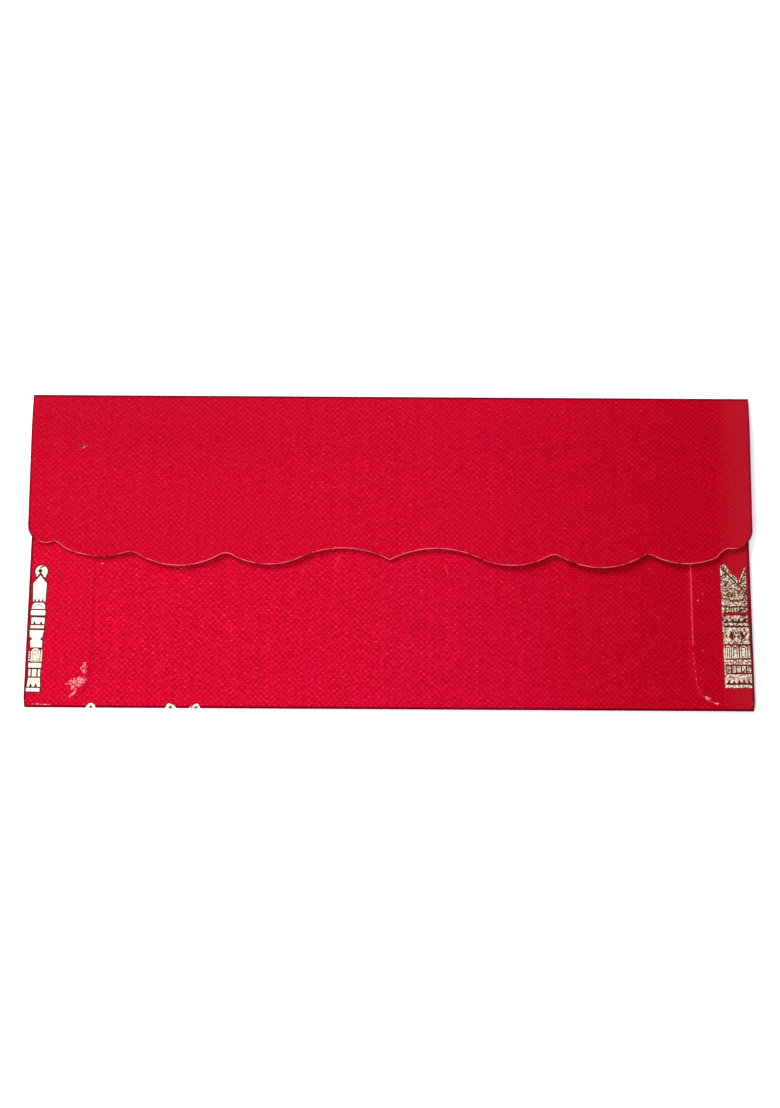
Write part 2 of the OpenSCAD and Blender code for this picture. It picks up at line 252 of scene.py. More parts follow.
def flap_half(shares):
    """Half of the flap's outline, from the middle of its free edge to the crease."""
    points = [(x * FLAP_HALF_W, FLAP_FOOT_Y + y * SCALLOP_H) for x, y in shares]
    half = []
    for i in range(0, len(points) - 2, 2):
        half += arc_through(*points[i:i + 3])
    return half + [(FLAP_HALF_W, AXIS_Y)]


def flap_outline():
    """The flap's outline. Its leftmost scallop is shallower than the rightmost one."""
    right = flap_half(SCALLOP_SHARES)
    left = flap_half(SCALLOP_SHARES[:10] + LEFT_END_SHARES)
    return evened(right + mirrored(left))


def back_outline():
    """Outline of the back panel, with its height measured from the bottom fold's start."""
    w, h, r = BACK_HALF_W, MOUTH_Y - BOTTOM_Y, MOUTH_ROUND
    half = [(w, -BOTTOM_ARC), (w, 0)] + arc((w - r, h - r), r, 0, 90)
    return evened(half + mirrored(half))


def front_outline():
    half = [
        (HALF_W - FRONT_CORNER, BOTTOM_Y), (HALF_W, BOTTOM_Y + FRONT_CORNER), (HALF_W, SIDE_FOOT_Y),
        (SIDE_X, SIDE_FOOT_Y), (SIDE_X, SIDE_HEAD_Y), (HALF_W, SIDE_HEAD_Y + FRONT_CORNER), (HALF_W, AXIS_Y),
    ]
    return evened(half + mirrored(half))


def side_outline(ridge_x):
    """Outline of a side flap with its fold; x is measured round the fold from its start on the front."""
    far = SIDE_ARC + SIDE_X - abs(ridge_x)
    foot_x = far - FOOT_TAPER
    head_y = SIDE_HEAD_Y - SIDE_SLANT
    points = [(0, SIDE_FOOT_Y), (SIDE_ARC, SIDE_FOOT_Y)]
    points += arc((foot_x - FOOT_ROUND, SIDE_FOOT_Y + FOOT_ROUND), FOOT_ROUND, -90, 0)
    points.append((far, SIDE_FOOT_Y + TAPER_H))
    points += arc((far - HEAD_ROUND, head_y - HEAD_ROUND), HEAD_ROUND, 0, 90)
    points += [(SIDE_ARC, SIDE_HEAD_Y), (0, SIDE_HEAD_Y)]
    return evened(points)


def ridge_line(ridge_x):
    """Where the inner edge of a side flap shows through the back panel, from the foot up."""
    side = math.copysign(1, ridge_x)
    foot_x = abs(ridge_x) + FOOT_TAPER
    points = [(HALF_W, SIDE_FOOT_Y)]
    points += arc((foot_x + FOOT_ROUND, SIDE_FOOT_Y + FOOT_ROUND), FOOT_ROUND, 270, 180)
    points += [(abs(ridge_x), SIDE_FOOT_Y + TAPER_H), (abs(ridge_x), MOUTH_Y)]
    return [(side * x, y) for x, y in points]


RIDGES = (ridge_line(LEFT_RIDGE_X), ridge_line(RIGHT_RIDGE_X))


def ridge_distance(x, y):
    """Distance from a point to the ridge in its half of the back panel."""
    line = RIDGES[x > 0]
    gaps = []
    for (ax, ay), (bx, by) in zip(line, line[1:]):
        dx, dy = bx - ax, by - ay
        t = min(1.0, max(0.0, ((x - ax) * dx + (y - ay) * dy) / (dx * dx + dy * dy)))
        gaps.append(math.hypot(x - ax - t * dx, y - ay - t * dy))
    return min(gaps)


def over_side_flap(x, y):
    """Whether the back panel lies on a side flap there."""
    ridge_x = abs(RIGHT_RIDGE_X if x > 0 else LEFT_RIDGE_X)
    if y < SIDE_FOOT_Y or abs(x) < ridge_x:
        return False
    corner_x = ridge_x + FOOT_TAPER + FOOT_ROUND
    corner_y = SIDE_FOOT_Y + FOOT_ROUND
    if abs(x) < corner_x and y < corner_y:
        return math.hypot(abs(x) - corner_x, y - corner_y) < FOOT_ROUND
    taper = FOOT_TAPER * max(0.0, 1 - (y - SIDE_FOOT_Y) / TAPER_H)
    return abs(x) > ridge_x + taper


# Folding. Each place function takes a point of the flat sheet and its depth below the red face.


def place_front(x, y, depth):
    return x, y, depth


def place_side(side):
    def place(x, y, depth):
        turn = min(x, SIDE_ARC) / SIDE_R
        reach = SIDE_R - depth
        flat = max(0.0, x - SIDE_ARC)
        return side * (SIDE_X + reach * math.sin(turn) - flat), y, SIDE_R - reach * math.cos(turn)
    return place


def back_height(x, y):
    """Height of the back panel's red face: lower where no side flap lies under it."""
    sunk = 0.0 if over_side_flap(x, y) else smooth(ridge_distance(x, y) / SINK_RUN)
    fade = smooth((y - BOTTOM_Y) / SINK_END)
    droop = SIDE_DROOP * max(0.0, 1 - (BACK_HALF_W - abs(x)) / DROOP_RUN) ** 2
    return BACK_Z - fade * (SINK * sunk + droop + WAVE * (0.5 + wave(x, y, WAVE_LENGTH, seed=0.3)))


def place_back(x, v, depth):
    """v is measured from the end of the bottom fold; below zero it runs round the fold to the front."""
    if v >= 0:
        return x, BOTTOM_Y + v, back_height(x, BOTTOM_Y + v) - depth
    if v < -BOTTOM_ARC:
        return x, BOTTOM_Y - BOTTOM_ARC - v, depth
    turn = -v / BOTTOM_R
    reach = BOTTOM_R - depth
    return x, BOTTOM_Y - reach * math.sin(turn), BOTTOM_R + reach * math.cos(turn)


def flap_height(x, y):
    """Height of the flap's red face: a quick rise from the crease, then nearly flat to the free edge."""
    run = AXIS_Y - y
    share = run / (AXIS_Y - FLAP_FOOT_Y)
    crest_h = FLAP_TOP_Z - 2 * BEAD_R - FLAP_LIFT
    rise = crest_h * math.sin(math.pi / 2 * min(1, run / CREST_RUN)) + FLAP_LIFT * share
    sag = TIP_SAG * math.exp(-(x / TIP_SAG_RUN) ** 2) + LEFT_SAG * smooth(-x / FLAP_HALF_W)
    ripple = FLAP_WAVE * (0.6 + wave(x, y, FLAP_WAVE_LENGTH, seed=4.7))
    return 2 * BEAD_R + rise - share * share * sag - smooth(share * 2) * ripple


def place_flap(x, y, depth):
    return x, y, flap_height(x, y) - depth


def place_crease(x, a, depth):
    turn = a / BEAD_R
    reach = BEAD_R - depth
    return x, AXIS_Y + reach * math.sin(turn), BEAD_R - reach * math.cos(turn)


# Meshes


def anticlockwise(outline):
    """The outline as an array of points that runs anticlockwise."""
    points = np.array(outline, float)
    x, y = points.T
    clockwise = np.sum(x * np.roll(y, -1) - y * np.roll(x, -1)) < 0
    return points[::-1] if clockwise else points


def unit(vectors):
    return vectors / np.linalg.norm(vectors, axis=1)[:, None]


def inward_normals(points):
    """Unit vectors at each point of an outline that runs anticlockwise, pointing inside."""
    before = unit(points - np.roll(points, 1, axis=0))
    after = unit(np.roll(points, -1, axis=0) - points)
    along = unit(before + after)
    return np.stack([-along[:, 1], along[:, 0]], axis=1)


def distance_to_outline(point, points):
    """Distance from a point to the nearest side of the outline."""
    a = points
    b = np.roll(points, -1, axis=0)
    d = b - a
    t = np.clip(((point - a) * d).sum(1) / (d * d).sum(1), 0, 1)
    return float(np.min(np.linalg.norm(a + d * t[:, None] - point, axis=1)))


def within(points, loop):
    """Which of the points lie inside the loop."""
    a = np.asarray(loop, float)
    b = np.roll(a, -1, axis=0)
    x, y = points[:, 0, None], points[:, 1, None]
    crosses = (a[:, 1] > y) != (b[:, 1] > y)
    rise = np.where(a[:, 1] == b[:, 1], 1, b[:, 1] - a[:, 1])
    at_x = a[:, 0] + (y - a[:, 1]) * (b[:, 0] - a[:, 0]) / rise
    return np.count_nonzero(crosses & (at_x > x), axis=1) % 2 == 1


def triangles(points, loops):
    """Triangles inside the first loop of point numbers and outside the others.

    Gives the places of all points, the number each had at first, and the triangles.
    """
    sides = [side for loop in loops for side in zip(loop, loop[1:] + loop[:1])]
    made = delaunay_2d_cdt([Vector(p) for p in points], sides, [], 0, 1e-5, True)
    places = np.array([tuple(p) for p in made[0]])
    faces = np.array(made[2])
    middles = places[faces].mean(axis=1)
    given = np.array(points, float)
    kept = within(middles, given[loops[0]])
    for loop in loops[1:]:
        kept &= ~within(middles, given[loop])
    origins = [origin[0] if origin else None for origin in made[3]]
    return places, origins, faces[kept].tolist()


def linked(name, data):
    """A new object in the scene."""
    made = bpy.data.objects.new(name, data)
    bpy.context.scene.collection.objects.link(made)
    return made


def finish_mesh(name, build, materials, smooth_angle=35):
    bmesh.ops.recalc_face_normals(build, faces=build.faces)
    mesh = bpy.data.meshes.new(name)
    build.to_mesh(mesh)
    build.free()
    for material in materials:
        mesh.materials.append(material)
    mesh.shade_smooth()
    mesh.set_sharp_from_angle(angle=math.radians(smooth_angle))
    return linked(name, mesh)


def sheet(name, outline, place, inside, joined, ridges=False, inset=0.9):
    """A folded panel of paper: red face, cut edge and pale face, with the edge slightly rounded.

    Joined tells which points of the outline go on into another panel, so aren't a cut edge, and inset is
    the room that the points inside leave along the outline. The attribute edge_mm is the distance to the
    nearest cut edge, and ridge_mm to a ridge.
    """
    edge = anticlockwise(outline)
    count = len(edge)
    free = np.array([0.0 if joined(x, y) else 1.0 for x, y in edge])
    inward = inward_normals(edge) * free[:, None]
    flat = [tuple(p) for p in edge + inward * EDGE_ROUND]
    edge_mm = [EDGE_ROUND if f else FAR for f in free]
    for width in WEAR_RINGS:
        for point, f in zip(edge + inward * width, free):
            if f:
                flat.append(tuple(point))
                edge_mm.append(width)
    scattered = np.array(inside, float)
    for point in scattered[within(scattered, edge)]:
        if distance_to_outline(point, edge) > inset:
            flat.append(tuple(point))
            edge_mm.append(FAR)
    _, origins, faces = triangles(flat, [list(range(count))])
    faces = [[origins[i] for i in face] for face in faces]

    build = bmesh.new()
    edge_layer = build.verts.layers.float.new("edge_mm")
    ridge_layer = build.verts.layers.float.new("ridge_mm")

    def add(x, y, depth, gap):
        vertex = build.verts.new([c * METRE for c in place(x, y, depth)])
        vertex[edge_layer] = gap
        vertex[ridge_layer] = ridge_distance(x, BOTTOM_Y + y) if ridges else FAR
        return vertex

    used = sorted({i for face in faces for i in face})
    top = {i: add(*flat[i], 0, edge_mm[i]) for i in used}
    bottom = {i: add(*flat[i], PAPER, edge_mm[i]) for i in used}
    upper = [add(x, y, EDGE_ROUND, 0) for x, y in edge]
    lower = [add(x, y, PAPER - EDGE_ROUND, 0) for x, y in edge]
    for face in faces:
        build.faces.new([top[i] for i in face]).material_index = 0
        build.faces.new([bottom[i] for i in reversed(face)]).material_index = 2
    rims = (top, upper, lower, bottom)
    for i in range(count):
        j = (i + 1) % count
        for a, b in zip(rims, rims[1:]):
            build.faces.new((a[i], a[j], b[j], b[i])).material_index = 1
    return finish_mesh(name, build, PAPER_FACES)


def stamp(name, groups, place, materials, step):
    """Foil stamped into a panel. Each group is an outline, the cuts in it, a material's number and a lift."""
    build = bmesh.new()
    for outline, cuts, number, lift in groups:
        points = []
        rings = []
        for loop in [outline] + cuts:
            loop = spaced(loop, step)
            rings.append(list(range(len(points), len(points) + len(loop))))
            points += loop
        places, _, faces = triangles(points, rings)
        used = {i for face in faces for i in face}
        top = {i: build.verts.new([c * METRE for c in place(*places[i], -lift)]) for i in used}
        foot = {i: build.verts.new([c * METRE for c in place(*places[i], FOIL_SEAT)]) for i in used}
        sides = {(a, b) for face in faces for a, b in zip(face, face[1:] + face[:1])}
        for face in faces:
            build.faces.new([top[i] for i in face]).material_index = number
            build.faces.new([foot[i] for i in reversed(face)]).material_index = number
        for a, b in sorted(sides):
            if (b, a) not in sides:
                build.faces.new([top[b], top[a], foot[a], foot[b]]).material_index = number
    return finish_mesh(name, build, materials, smooth_angle=25)


def grid(x0, x1, y0, y1, step):
    """Points over a rectangle, every other row moved half a step."""
    columns = round((x1 - x0) / step)
    rows = round((y1 - y0) / step)
    return [
        (x0 + (x1 - x0) * (i + 0.5 * (j % 2)) / columns, y0 + (y1 - y0) * j / rows)
        for j in range(rows + 1)
        for i in range(columns + 1)
    ]


# Materials

HOLE_RED = (0.36, 0.0002, 0.006, 1)
DASH_RED = (0.77, 0.0045, 0.042, 1)
PAINTED_SHEEN_PINK = (0.88, 0.065, 0.110, 1)
CRIMSON = (0.56, 0.0014, 0.025, 1)
PAINTED_SHADE_RIGHT_RED = (0.40, 0.0002, 0.005, 1)
PAINTED_SHADE_DEEP_RED = (0.12, 0.0001, 0.002, 1)
# Painted shade on the folds, the crease and the flap's sides
PAINTED_FOLD_SHADE = (0.085, 0.0012, 0.010, 1)
RIDGE_PINK = (0.90, 0.075, 0.125, 1)
WORN_PINK = (0.92, 0.40, 0.46, 1)
DULL_RED = (0.40, 0.012, 0.020, 1)
WORN_EDGE = (0.95, 0.10, 0.15, 1)
STAIN_BROWN = (0.19, 0.022, 0.010, 1)
CORE = (0.93, 0.27, 0.33, 1)
CORE_STAIN = (0.16, 0.003, 0.012, 1)
BOARD = (0.80, 0.68, 0.64, 1)
BOARD_SHADE = (0.70, 0.55, 0.52, 1)
# Pressed paper along the foil, with painted shade at the foil's edges
PRESSED_AND_SHADE_RED = (0.150, 0.009, 0.010, 1)
PRESSED_AND_SHADE_BROWN = (0.040, 0.008, 0.005, 1)
CREAM_GOLD = (1.0, 0.93, 0.85, 1)
PALE_GOLD = (0.97, 0.80, 0.67, 1)
PAINTED_HIGHLIGHT_GOLD = (1.0, 0.92, 0.76, 1)
TAN_GOLD = (0.46, 0.20, 0.115, 1)
PAINTED_DARK_REFLECTION = (0.21, 0.19, 0.09, 1)
PAINTED_PIT_SHADE = (0.10, 0.010, 0.008, 1)
GLUE = (0.74, 0.68, 0.50, 1)
GLUE_EDGE = (0.55, 0.45, 0.28, 1)
FLOOR = (0.97, 0.97, 0.97, 1)
FLOOR_SHADE = (0.95, 0.95, 0.96, 1)

# The embossed cloth pattern: its gloss, the distances between its dashes, and its depth
PAPER_GLOSS = 0.014
WEAVE_X = 1.41
WEAVE_Y = 1.48
WEAVE_DEPTH = 0.032

# Height above which red paper belongs to the flap
FLAP_LOW_Z = BACK_Z + 0.15


class Shader:
    """A material while it is made. Its place is the point on the surface, with the axes x, y and z."""

    def __init__(self, name, colour):
        self.material = bpy.data.materials.new(name)
        self.material.use_nodes = True
        self.tree = self.material.node_tree
        self.colour = colour
        self.place = self.stretched(self.node("TexCoord", {})["Object"], (1 / METRE,) * 3)
        self.x, self.y, self.z = self.node("SeparateXYZ", {0: self.place})

    def feed(self, node, inputs):
        """Links the outputs among the values to the node's inputs, and sets the plain values."""
        for key, value in inputs.items():
            if isinstance(value, bpy.types.NodeSocket):
                self.tree.links.new(value, node.inputs[key])
            else:
                node.inputs[key].default_value = value

    def node(self, kind, inputs, **settings):
        """Adds a node, feeds its inputs and gives its outputs."""
        node = self.tree.nodes.new("ShaderNode" + kind)
        for name, value in settings.items():
            setattr(node, name, value)
        self.feed(node, inputs)
        return node.outputs

    def math(self, operation, *values):
        return self.node("Math", dict(enumerate(values)), operation=operation)[0]

    def scaled(self, value, factor, added):
        """The value times a factor, with something added."""
        return self.math("MULTIPLY_ADD", value, factor, added)

    def product(self, *values):
        return reduce(lambda a, b: self.math("MULTIPLY", a, b), values)

    def most(self, *values):
        return reduce(lambda a, b: self.math("MAXIMUM", a, b), values)

    def between(self, value, start, end):
        """0 before start, 1 past end, and an even curve between. Start may lie above end."""
        inputs = dict(enumerate((value, start, end, 0.0, 1.0)))
        return self.node("MapRange", inputs, interpolation_type="SMOOTHSTEP")[0]

    def mix(self, share, first, second):
        return self.node("Mix", {0: share, 6: first, 7: second}, data_type="RGBA")[2]

    def tint(self, share, colour):
        """Lays a colour over the material's colour so far."""
        self.colour = self.mix(share, self.colour, colour)

    def stretched(self, vector, factors):
        """The vector with its axes scaled."""
        return self.node("VectorMath", {0: vector, 1: factors}, operation="MULTIPLY")[0]

    def noise(self, size, detail=2.0, roughness=0.5, squeeze=None):
        """Noise around 0.5 with hills about size apart, or further along x or y where squeezed below 1."""
        place = self.stretched(self.place, (*squeeze, 1)) if squeeze else self.place
        inputs = {"Vector": place, "Scale": 1 / size, "Detail": detail, "Roughness": roughness}
        return self.node("TexNoise", inputs)[0]

    def ripple(self, value, length, shift=0.0):
        """A cosine wave of that length."""
        return self.math("COSINE", self.scaled(value, 2 * math.pi / length, shift))

    def attribute(self, name):
        return self.node("Attribute", {}, attribute_name=name)["Fac"]

    def weave(self):
        """Height of the embossed cloth pattern: staggered short dashes, big and small in turn."""
        x = self.scaled(self.noise(1.9), 0.8, self.x)
        y = self.scaled(self.noise(2.3), 0.5, self.y)
        broad = self.product(self.ripple(x, 2 * WEAVE_X, 0.8), 0.22)
        across = self.scaled(self.ripple(x, WEAVE_X), 0.78, broad)
        rows = self.product(across, self.ripple(y, WEAVE_Y))
        return self.scaled(self.ripple(y, WEAVE_Y / 2), 0.2, rows)

    def patch(self, middle, size, tilt):
        """1 in the middle of an ellipse, fading evenly to 0 at its edge."""
        c, s = math.cos(math.radians(tilt)), math.sin(math.radians(tilt))
        dx = self.math("SUBTRACT", self.x, middle[0])
        dy = self.math("SUBTRACT", self.y, middle[1])
        along = self.math("DIVIDE", self.scaled(dx, c, self.product(dy, s)), size[0])
        across = self.math("DIVIDE", self.scaled(dy, c, self.product(dx, -s)), size[1])
        return self.between(self.scaled(along, along, self.product(across, across)), 1.0, 0.0)

    def hair(self, foot, height, lean, bend):
        """A fine curved scratch that starts at foot and rises by height."""
        up = self.math("SUBTRACT", self.y, foot[1])
        line = self.scaled(up, self.scaled(up, bend / height, lean), foot[0])
        off = self.math("ABSOLUTE", self.math("SUBTRACT", self.x, line))
        ends = self.product(self.between(up, 0.0, HAIR_TIP), self.between(up, height, height - HAIR_TIP))
        return self.product(ends, self.between(off, HAIR_WIDTH, HAIR_WIDTH / 3))

    def finished(self, relief, depth, strength=1.0, **values):
        """The material with its colour, a fine relief and other values, named with _ for a space."""
        bump = {"Height": relief, "Distance": depth * METRE, "Strength": strength}
        values |= {"Base_Color": self.colour, "Normal": self.node("Bump", bump)[0]}
        inputs = {name.replace("_", " "): value for name, value in values.items()}
        self.feed(self.tree.nodes["Principled BSDF"], inputs)
        return self.material


# Marks of use on the red paper, all on the photographed side. A worn patch has its middle, half its length
# and width, its tilt and a level, lower where more is rubbed off. The stain has the first three.
SCUFFS = (
    ((-78.6, -34.8), (3.3, 1.9), 18, 0.46),
    ((-77.0, -31.3), (1.1, 2.2), -8, 0.47),
    ((-79.6, -37.7), (2.6, 0.4), 42, 0.49),
    ((-87.6, -40.3), (3.4, 0.16), -2, 0.40),
    ((-79.4, 26.5), (0.9, 0.5), 20, 0.47),
    ((80.0, -37.7), (1.1, 1.0), -35, 0.49),
    ((82.2, -39.2), (1.4, 0.4), -30, 0.52),
    ((79.4, -11.1), (0.4, 0.3), 0, 0.48),
    ((78.2, -12.8), (0.35, 0.25), 0, 0.50),
    ((79.1, -25.7), (0.45, 0.25), 20, 0.48),
    ((-73.4, -4.0), (0.4, 0.25), -30, 0.50),
)
STAIN = ((-79.7, 26.8), (1.6, 0.9), 10)

# Fine scratches: foot, height, lean and bend
HAIRS = (
    ((-14.4, -5.7), 5.0, 0.31, 0.16),
    ((14.8, -6.4), 3.0, -0.29, 0.0),
    ((-40.6, -22.6), 2.6, 0.35, -0.10),
    ((-22.4, -6.8), 1.6, 0.12, 0.35),
)
HAIR_WIDTH = 0.09
HAIR_TIP = 0.6


def weave_colours_and_painted_light(s, dashes, grain):
    """From dark holes to bright dashes, partly painted shade and highlight; painted darker to the right, with
    a painted pink sheen.
    """
    right = s.between(s.x, -20.0, 88.0)
    # The ramp from holes to dashes is partly the paper's tone and partly painted shade and highlight of the
    # relief
    s.tint(s.between(dashes, -1.15, 1.15), DASH_RED)
    # Painted shade: the paper darkens towards the right, over some tone that differs at random
    s.tint(s.scaled(right, 0.42, s.product(s.noise(17.0, detail=3), 0.3)), s.mix(right, CRIMSON, PAINTED_SHADE_RIGHT_RED))
    # More painted shade towards the right
    s.tint(s.product(right, 0.16), PAINTED_SHADE_DEEP_RED)
    # Painted pink sheen on the raised dashes, stronger on the left
    bright = s.product(s.between(dashes, 0.6, 1.5), s.between(grain, 0.44, 0.58))
    s.tint(s.product(bright, s.scaled(right, -0.35, 0.65)), PAINTED_SHEEN_PINK)
    streaks = s.product(s.ripple(s.x, 3.3), s.ripple(s.x, 7.9, 1.3))
    s.tint(s.scaled(streaks, 0.08, 0.08), HOLE_RED)
    s.tint(s.product(s.between(s.x, 82.0, 92.0), 0.5), DULL_RED)


def flap_shade(s, upper_side):
    """Painted shade: the flap is a little darker than the back panel, more towards its left and up by the
    crease.
    """
    by_crease = s.product(s.between(s.y, MOUTH_Y, MOUTH_Y + 1.0), upper_side)
    on_flap = s.most(s.between(s.z, FLAP_LOW_Z, FLAP_LOW_Z + 0.15), by_crease)
    left = s.scaled(s.between(s.x, 10.0, -80.0), 0.12, s.product(s.between(s.x, 80.0, -20.0), 0.17))
    # Painted shade over the flap, darker towards its left
    s.tint(s.product(on_flap, left), HOLE_RED)
    # More painted shade near the crease, towards the left
    upper_left_shade = s.scaled(s.between(s.x, 60.0, -85.0), 0.12, 0.04)
    s.tint(s.product(s.between(s.y, 12.0, AXIS_Y), on_flap, upper_left_shade), PAINTED_SHADE_DEEP_RED)


def fold_shade(s, edge):
    """Painted shade where the rolled folds turn over, along the flap's sides and on the crease, darkest on
    the folds' upper parts.
    """
    width = s.math("ABSOLUTE", s.x)
    below_flap = s.between(s.z, FLAP_LOW_Z, FLAP_LOW_Z - 0.1)
    fold_end = s.between(s.y, SIDE_HEAD_Y, SIDE_HEAD_Y - 0.3)
    upper = s.scaled(s.between(s.z, 0.25, 0.8), 0.75, 0.25)
    side = s.product(s.between(width, SIDE_X - 0.32, SIDE_X - 0.05), below_flap, fold_end, upper)
    flap_side = s.product(s.between(edge, 0.7, 0.05), s.between(width, SIDE_X - 0.9, SIDE_X - 0.4))
    bottom = s.product(s.between(s.y, BOTTOM_Y - 0.1, BOTTOM_Y - 0.4), upper)
    crease_line = s.between(s.y, AXIS_Y - 0.35, AXIS_Y - 0.05)
    crease_side = s.product(crease_line, s.scaled(s.between(s.z, 0.1, 0.5), 0.7, 0.3))
    # Painted shade on the folds, the crease and the flap's sides
    s.tint(s.product(s.most(side, flap_side, bottom, crease_side), 0.85), PAINTED_FOLD_SHADE)


def rim_patches(s):
    """Noise that says where cut edges are worn, the same on the face and on the cut."""
    return s.noise(4.6, detail=5, roughness=0.7)


def clear_of_sides(s):
    """0 at the envelope's sides, where cut edges get no pale wear and stay dark as painted shade, and 1
    between them.
    """
    return s.between(s.math("ABSOLUTE", s.x), SIDE_X - 0.6, SIDE_X - 1.4)


def worn_rim(s, edge):
    """A thin line along the cut edges, wider in stretches."""
    width = s.scaled(s.between(rim_patches(s), 0.40, 0.58), 0.17, 0.02)
    # Hardly any worn line along the sides, which stay dark as painted shade
    return s.product(s.math("LESS_THAN", edge, width), s.scaled(clear_of_sides(s), 0.85, 0.1))


def worn_ridge_and_highlight(s, grain):
    """A broken pale line over the side flaps' edges, partly rubbed wear and partly a painted highlight on the
    step, so hardly seen on the left.
    """
    # Painted highlight and wear, much stronger on the right than on the left
    strength = s.scaled(s.between(s.x, -30.0, 30.0), 0.8, 0.04)
    gaps = s.scaled(s.between(s.y, -20.0, -25.0), 0.12, 0.34)
    broken = s.between(grain, gaps, s.math("ADD", gaps, 0.14))
    return s.product(s.between(s.attribute("ridge_mm"), 0.19, 0.05), strength, broken)


def scuffed(s):
    """The worn patches, drawn in short strokes both ways."""
    strokes = s.most(s.noise(0.36, squeeze=(1.0, 0.4)), s.noise(0.36, squeeze=(0.4, 1.0)))
    marks = []
    for middle, size, tilt, level in SCUFFS:
        density = s.patch(middle, size, tilt)
        rough = s.between(s.scaled(density, 0.16, strokes), level + 0.22, level + 0.28)
        marks.append(s.product(s.between(density, 0.02, 0.2), rough, 0.9))
    return s.most(*marks)


def red_paper():
    s = Shader("red_embossed_paper", HOLE_RED)
    fibre = s.noise(0.35, detail=4, roughness=0.65)
    grain = s.noise(0.5, detail=3, roughness=0.7)
    threads = s.noise(0.36, roughness=0.6, squeeze=(0.42, 1.0))
    dashes = s.scaled(s.math("SUBTRACT", threads, 0.5), 3.8, s.product(s.weave(), 0.72))
    edge = s.attribute("edge_mm")
    upper_side = s.between(s.z, 0.5, 0.8)
    covered = s.product(s.between(s.y, MOUTH_Y - 0.5, MOUTH_Y), s.between(s.z, FLAP_LOW_Z, BACK_Z))
    seen = s.product(upper_side, s.math("SUBTRACT", 1.0, covered))

    weave_colours_and_painted_light(s, dashes, grain)
    flap_shade(s, upper_side)
    fold_shade(s, edge)
    s.tint(s.product(s.patch(*STAIN), s.between(grain, 0.36, 0.5), seen, 0.8), STAIN_BROWN)
    s.tint(worn_rim(s, edge), WORN_EDGE)
    faint = s.most(worn_ridge_and_highlight(s, grain), *[s.product(s.hair(*hair), 0.5) for hair in HAIRS])
    s.tint(s.product(faint, seen), RIDGE_PINK)
    worn = s.product(scuffed(s), seen)
    s.tint(worn, WORN_PINK)
    relief = s.scaled(worn, -0.5, s.scaled(dashes, 0.35, s.product(fibre, 0.3)))
    gloss = s.scaled(fibre, 0.2, 0.45)
    return s.finished(relief, WEAVE_DEPTH, Roughness=gloss, Specular_IOR_Level=PAPER_GLOSS)


def cut_edge():
    """The cut through the paper: its pale core shows only in stretches, the rest is dyed."""
    s = Shader("cut_paper_edge", CORE_STAIN)
    grain = s.noise(0.6, detail=3, roughness=0.65)
    # No pale core along the sides, kept dark there as painted shade
    bare = s.product(s.between(rim_patches(s), 0.34, 0.5), s.between(grain, 0.34, 0.5), clear_of_sides(s))
    s.tint(bare, CORE)
    return s.finished(s.noise(0.12, detail=3), 0.02, Roughness=0.85, Specular_IOR_Level=0.1)


def pale_board():
    s = Shader("pale_board", BOARD)
    cloud = s.noise(9.0, detail=4, roughness=0.6)
    fibre = s.noise(0.4, detail=5, roughness=0.7)
    show_through = s.between(s.weave(), 0.2, 1.2)
    s.tint(s.product(s.between(cloud, 0.35, 0.7), 0.6), BOARD_SHADE)
    s.tint(s.product(show_through, 0.18), BOARD_SHADE)
    relief = s.scaled(show_through, 0.4, fibre)
    return s.finished(relief, 0.02, Roughness=0.8, Specular_IOR_Level=0.25)


def bright_foil():
    """Foil on the pillar, the loops and the front: pale gold with a soft mirror."""
    s = Shader("bright_gold_foil", CREAM_GOLD)
    fine = s.noise(0.5, detail=3, roughness=0.6)
    s.tint(s.between(s.noise(2.2), 0.35, 0.65), PALE_GOLD)
    relief = s.scaled(s.weave(), 0.35, fine)
    return s.finished(relief, 0.02, strength=0.6, Roughness=s.scaled(fine, 0.18, 0.22), Metallic=1.0)


def chased_foil():
    """Foil on the gateway: the same gold over a fine relief, with painted highlights on its crests, dull
    flanks, painted shade in its red pits and blots of painted dark reflection.
    """
    s = Shader("chased_gold_foil", TAN_GOLD)
    fine = s.noise(0.41, roughness=0.7)
    blot = s.noise(1.1, detail=3, roughness=0.65)
    rise = s.math("SUBTRACT", s.y, GATEWAY_FOOT_Y)
    high = s.between(rise, 10.1, 19.1)
    foot_rail = s.between(rise, 0.9, 0.6)
    arcade = s.product(s.between(rise, 7.1, 7.5), s.between(rise, 10.7, 10.3))
    crest = s.scaled(arcade, -0.06, s.scaled(foot_rail, -0.03, s.scaled(high, 0.03, 0.495)))
    pit = s.scaled(arcade, -0.05, s.scaled(high, 0.055, 0.425))
    # Painted dark reflection in blots, more on the upper part
    s.tint(s.product(s.between(blot, 0.44, 0.58), s.scaled(high, 0.6, 0.25)), PAINTED_DARK_REFLECTION)
    # Painted highlights on the relief's crests
    s.tint(s.between(fine, crest, s.math("ADD", crest, 0.045)), PAINTED_HIGHLIGHT_GOLD)
    # Painted shade in the relief's pits
    s.tint(s.between(fine, pit, s.math("SUBTRACT", pit, 0.05)), PAINTED_PIT_SHADE)
    gloss = s.scaled(blot, 0.2, 0.3)
    return s.finished(fine, 0.05, Roughness=gloss, Metallic=0.3, Specular_IOR_Level=0.1)


def pressed_paper_and_shade():
    """The dark line along the foil: partly paper that the foil's die bit into, partly painted shade at the
    foil's edges.
    """
    s = Shader("pressed_paper_and_shade", PRESSED_AND_SHADE_RED)
    blot = s.noise(0.7, detail=3, roughness=0.6)
    s.tint(s.between(blot, 0.4, 0.6), PRESSED_AND_SHADE_BROWN)
    return s.finished(blot, 0.01, Roughness=0.6, Specular_IOR_Level=0.1)


